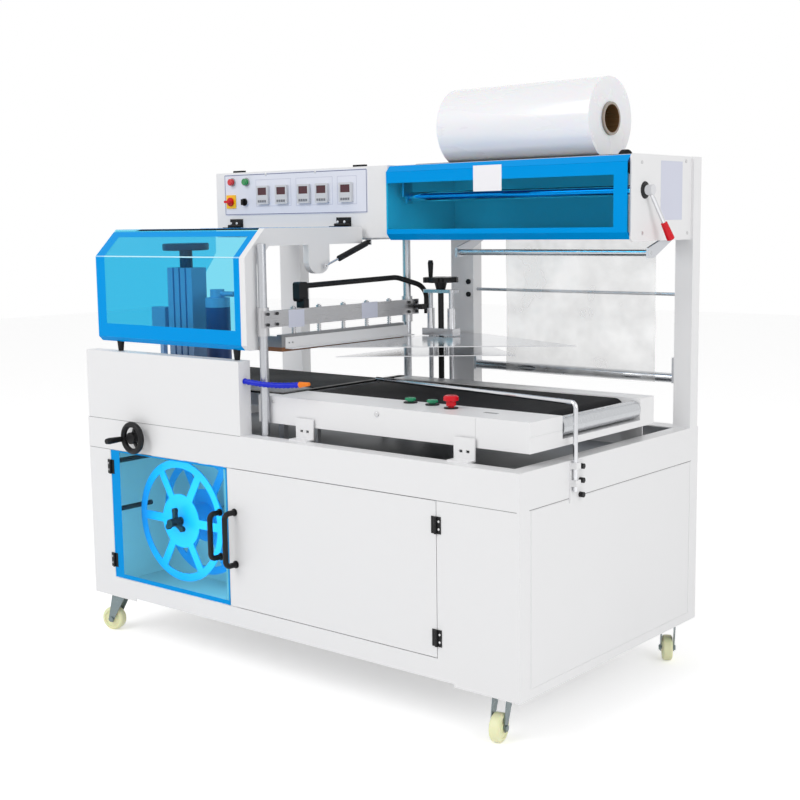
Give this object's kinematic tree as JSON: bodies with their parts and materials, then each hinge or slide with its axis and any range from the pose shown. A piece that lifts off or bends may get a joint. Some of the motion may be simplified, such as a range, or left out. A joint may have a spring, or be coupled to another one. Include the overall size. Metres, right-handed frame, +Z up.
{
  "type": "l bar sealer",
  "caption": "Automatic L-bar shrink-film sealer: castor cabinet, belt conveyors, film roll head, descending L-shaped sealing jaw under a tinted hinged guard.",
  "frame": {"origin": "on the floor under the middle of the outer box", "axes": "+X along the conveyor towards its infeed end, +Y from the front to the rear, +Z up"},
  "size_m": [1.7132, 0.9986, 1.6849],
  "materials": {
    "white_paint": "satin",
    "inner_grey": "satin",
    "bearing_metal": "machined",
    "ground_steel": "ground",
    "black_fittings": "matte",
    "panel_print": "printed film",
    "timer_grey": "matte",
    "lamp_lens": "gloss",
    "clear_film": "clear film",
    "wound_film": "wound clear film",
    "aluminium": "anodised",
    "belt_black": "matte",
    "hose_blue": "gloss",
    "blue_acrylic": "tinted acrylic",
    "reel_metal": "satin",
    "crank_black": "gloss",
    "nylon_white": "moulded",
    "zinc_steel": "zinc plated",
    "button_green": "gloss",
    "button_red": "gloss",
    "roller_rubber": "matte",
    "bright_steel": "polished",
    "strut_black": "satin",
    "seal_brown": "fibre"
  },
  "bodies": {
    "machine": {"cabinet_panels": "white_paint", "inner_frame": "inner_grey", "left_housing": "white_paint", "head_frame": "white_paint", "roller_bearings": "bearing_metal", "steel_guides": "ground_steel", "fixed_hinges": "black_fittings", "control_panel": "panel_print", "timer_modules": "timer_grey", "panel_lamps": "lamp_lens", "film_web": "clear_film", "lower_jaw": "aluminium", "drive_unit": "aluminium", "conveyor_frame": "white_paint", "conveyor_belts": "belt_black", "air_hose": "hose_blue"},
    "left_door_leaf": {"left_door": "blue_acrylic", "left_door_fittings": "black_fittings"},
    "right_door_leaf": {"right_door": "white_paint", "right_door_fittings": "black_fittings"},
    "reel": {"reel_flanges": "reel_metal", "reel_knob": "black_fittings"},
    "crank": {"hand_crank": "crank_black"},
    "switch": {"main_switch": "black_fittings"},
    "selector": {"selector_switch": "black_fittings"},
    "start": {"start_button": "button_green"},
    "jog": {"jog_button": "button_green"},
    "stop": {"stop_button": "button_red"},
    "cover": {"film_cover": "blue_acrylic"},
    "roll": {"film_roll": "wound_film"},
    "feed_front": {"feed_roller_front": "roller_rubber"},
    "feed_rear": {"feed_roller_rear": "roller_rubber"},
    "pinch_lever": {"lever_hub": "bright_steel", "lever_grip": "button_red"},
    "idler": {"idler_roller": "aluminium"},
    "low_turn_roller": {"low_roller": "aluminium"},
    "plates": {"film_plates": "aluminium"},
    "lift_wheel": {"lift_handwheel": "crank_black"},
    "guard": {"guard_cover": "blue_acrylic", "guard_side_frame": "white_paint", "guard_fittings": "black_fittings"},
    "strut_tube": {"strut_barrel": "strut_black"},
    "strut_piston": {"strut_rod": "bright_steel"},
    "seal_head": {"seal_beam": "ground_steel", "seal_bar": "aluminium", "seal_face": "seal_brown", "head_conduit": "black_fittings"},
    "head_roller": {"infeed_head_roller": "ground_steel"},
    "tail_roller": {"infeed_tail_roller": "ground_steel"},
    "end_turn_roller": {"end_roller": "ground_steel"},
    "out_roller": {"outfeed_roller": "ground_steel"},
    "guide": {"guide_rod": "bright_steel"},
    "fork_front_left": {"castor_fork_front_left": "zinc_steel"},
    "wheel_front_left": {"castor_wheel_front_left": "nylon_white"},
    "fork_front_right": {"castor_fork_front_right": "zinc_steel"},
    "wheel_front_right": {"castor_wheel_front_right": "nylon_white"},
    "fork_rear_left": {"castor_fork_rear_left": "zinc_steel"},
    "wheel_rear_left": {"castor_wheel_rear_left": "nylon_white"},
    "fork_rear_right": {"castor_fork_rear_right": "zinc_steel"},
    "wheel_rear_right": {"castor_wheel_rear_right": "nylon_white"}
  },
  "joints": [
    {"name": "left_door_hinge", "type": "hinge", "parent": "machine", "child": "left_door_leaf", "pos_m": [-0.732, -0.409, 0.4], "axis": [0, 0, -1], "range_deg": [0, 110]},
    {"name": "right_door_hinge", "type": "hinge", "parent": "machine", "child": "right_door_leaf", "pos_m": [0.559, -0.409, 0.4], "axis": [0, 0, 1], "range_deg": [0, 110]},
    {"name": "reel_spin", "type": "hinge", "parent": "machine", "child": "reel", "pos_m": [-0.523, -0.255, 0.39], "axis": [0, 1, 0], "continuous": true},
    {"name": "crank_spin", "type": "hinge", "parent": "machine", "child": "crank", "pos_m": [-0.588, -0.433, 0.66], "axis": [0, 1, 0], "continuous": true},
    {"name": "switch_turn", "type": "hinge", "parent": "machine", "child": "switch", "pos_m": [-0.703, 0.095, 1.371], "axis": [0, 1, 0], "range_deg": [0, 90]},
    {"name": "selector_turn", "type": "hinge", "parent": "machine", "child": "selector", "pos_m": [-0.636, 0.095, 1.369], "axis": [0, 1, 0], "range_deg": [-45, 45]},
    {"name": "start_press", "type": "slide", "parent": "machine", "child": "start", "axis": [0, 0, -1], "range_m": [0, 0.004], "stiffness_N_per_m": 500, "springref_m": -0.002},
    {"name": "jog_press", "type": "slide", "parent": "machine", "child": "jog", "axis": [0, 0, -1], "range_m": [0, 0.004], "stiffness_N_per_m": 500, "springref_m": -0.002},
    {"name": "stop_press", "type": "slide", "parent": "machine", "child": "stop", "axis": [0, 0, -1], "range_m": [0, 0.004], "stiffness_N_per_m": 800, "springref_m": -0.002},
    {"name": "cover_hinge", "type": "hinge", "parent": "machine", "child": "cover", "pos_m": [0.388, 0.151, 1.4627], "axis": [-1, 0, 0], "range_deg": [0, 75]},
    {"name": "roll_spin", "type": "hinge", "parent": "machine", "child": "roll", "pos_m": [0.3885, 0.27, 1.57088], "axis": [1, 0, 0], "continuous": true},
    {"name": "feed_front_spin", "type": "hinge", "parent": "machine", "child": "feed_front", "pos_m": [0.382, 0.21, 1.4485], "axis": [1, 0, 0], "continuous": true},
    {"name": "feed_rear_spin", "type": "hinge", "parent": "machine", "child": "feed_rear", "pos_m": [0.382, 0.33, 1.4485], "axis": [1, 0, 0], "continuous": true},
    {"name": "lever_turn", "type": "hinge", "parent": "machine", "child": "pinch_lever", "pos_m": [0.802, 0.187, 1.372], "axis": [1, 0, 0], "range_deg": [-60, 30]},
    {"name": "idler_spin", "type": "hinge", "parent": "machine", "child": "idler", "pos_m": [0.462, 0.25, 1.205], "axis": [1, 0, 0], "continuous": true},
    {"name": "low_roller_spin", "type": "hinge", "parent": "machine", "child": "low_turn_roller", "pos_m": [0.402, 0.461, 0.842], "axis": [1, 0, 0], "continuous": true},
    {"name": "lift_turn", "type": "hinge", "parent": "machine", "child": "lift_wheel", "pos_m": [0.028, 0.3, 1.118], "axis": [0, 0, 1], "range_deg": [-1800, 1260]},
    {"name": "plates_lift", "type": "slide", "parent": "machine", "child": "plates", "axis": [0, 0, 1], "range_m": [-0.0501, 0.0351]},
    {"name": "guard_hinge", "type": "hinge", "parent": "machine", "child": "guard", "pos_m": [-0.458, 0.103, 1.291], "axis": [-1, 0, 0], "range_deg": [0, 65]},
    {"name": "strut_swing", "type": "hinge", "parent": "machine", "child": "strut_tube", "pos_m": [-0.103, 0.113, 1.238], "axis": [-1, 0, 0], "range_deg": [-1, 62.2]},
    {"name": "strut_extend", "type": "slide", "parent": "strut_tube", "child": "strut_piston", "axis": [0, -0.9472, -0.3206], "range_m": [-0.001, 0.058]},
    {"name": "seal_stroke", "type": "slide", "parent": "machine", "child": "seal_head", "axis": [0, 0, -1], "range_m": [0, 0.118]},
    {"name": "head_roller_spin", "type": "hinge", "parent": "machine", "child": "head_roller", "pos_m": [-0.049, 0, 0.785], "axis": [0, 1, 0], "continuous": true},
    {"name": "tail_roller_spin", "type": "hinge", "parent": "machine", "child": "tail_roller", "pos_m": [0.717, 0, 0.785], "axis": [0, 1, 0], "continuous": true},
    {"name": "end_roller_spin", "type": "hinge", "parent": "machine", "child": "end_turn_roller", "pos_m": [0.774, 0, 0.785], "axis": [0, 1, 0], "continuous": true},
    {"name": "out_roller_spin", "type": "hinge", "parent": "machine", "child": "out_roller", "pos_m": [-0.143, 0.037, 0.785], "axis": [0, 1, 0], "continuous": true},
    {"name": "guide_slide", "type": "slide", "parent": "machine", "child": "guide", "axis": [0, 0, 1], "range_m": [-0.02, 0.06]},
    {"name": "swivel_front_left", "type": "hinge", "parent": "machine", "child": "fork_front_left", "pos_m": [-0.79, -0.341, 0.13], "axis": [0, 0, 1], "continuous": true},
    {"name": "wheel_spin_front_left", "type": "hinge", "parent": "fork_front_left", "child": "wheel_front_left", "pos_m": [-0.81819, -0.35126, 0.0375], "axis": [0.342, -0.9397, 0], "continuous": true},
    {"name": "swivel_front_right", "type": "hinge", "parent": "machine", "child": "fork_front_right", "pos_m": [0.703, -0.321, 0.13], "axis": [0, 0, 1], "continuous": true},
    {"name": "wheel_spin_front_right", "type": "hinge", "parent": "fork_front_right", "child": "wheel_front_right", "pos_m": [0.70975, -0.35023, 0.0375], "axis": [0.9744, 0.225, 0], "continuous": true},
    {"name": "swivel_rear_left", "type": "hinge", "parent": "machine", "child": "fork_rear_left", "pos_m": [-0.768, 0.431, 0.13], "axis": [0, 0, 1], "continuous": true},
    {"name": "wheel_spin_rear_left", "type": "hinge", "parent": "fork_rear_left", "child": "wheel_rear_left", "pos_m": [-0.77826, 0.45919, 0.0375], "axis": [-0.9397, -0.342, 0], "continuous": true},
    {"name": "swivel_rear_right", "type": "hinge", "parent": "machine", "child": "fork_rear_right", "pos_m": [0.756, 0.437, 0.13], "axis": [0, 0, 1], "continuous": true},
    {"name": "wheel_spin_rear_right", "type": "hinge", "parent": "fork_rear_right", "child": "wheel_rear_right", "pos_m": [0.7401, 0.46244, 0.0375], "axis": [-0.848, -0.5299, 0], "continuous": true}
  ],
  "couplings": [
    {"joint": "feed_front_spin", "follows": "roll_spin", "ratio": -5},
    {"joint": "feed_rear_spin", "follows": "roll_spin", "ratio": -5},
    {"joint": "plates_lift", "follows": "lift_turn", "m_per_rad": 0.0015915},
    {"joint": "strut_swing", "follows": "guard_hinge", "ratio": 0.9416},
    {"joint": "strut_extend", "follows": "guard_hinge", "m_per_rad": 0.05021},
    {"joint": "tail_roller_spin", "follows": "head_roller_spin", "ratio": 1},
    {"joint": "end_roller_spin", "follows": "head_roller_spin", "ratio": 1},
    {"joint": "out_roller_spin", "follows": "head_roller_spin", "ratio": 1}
  ]
}
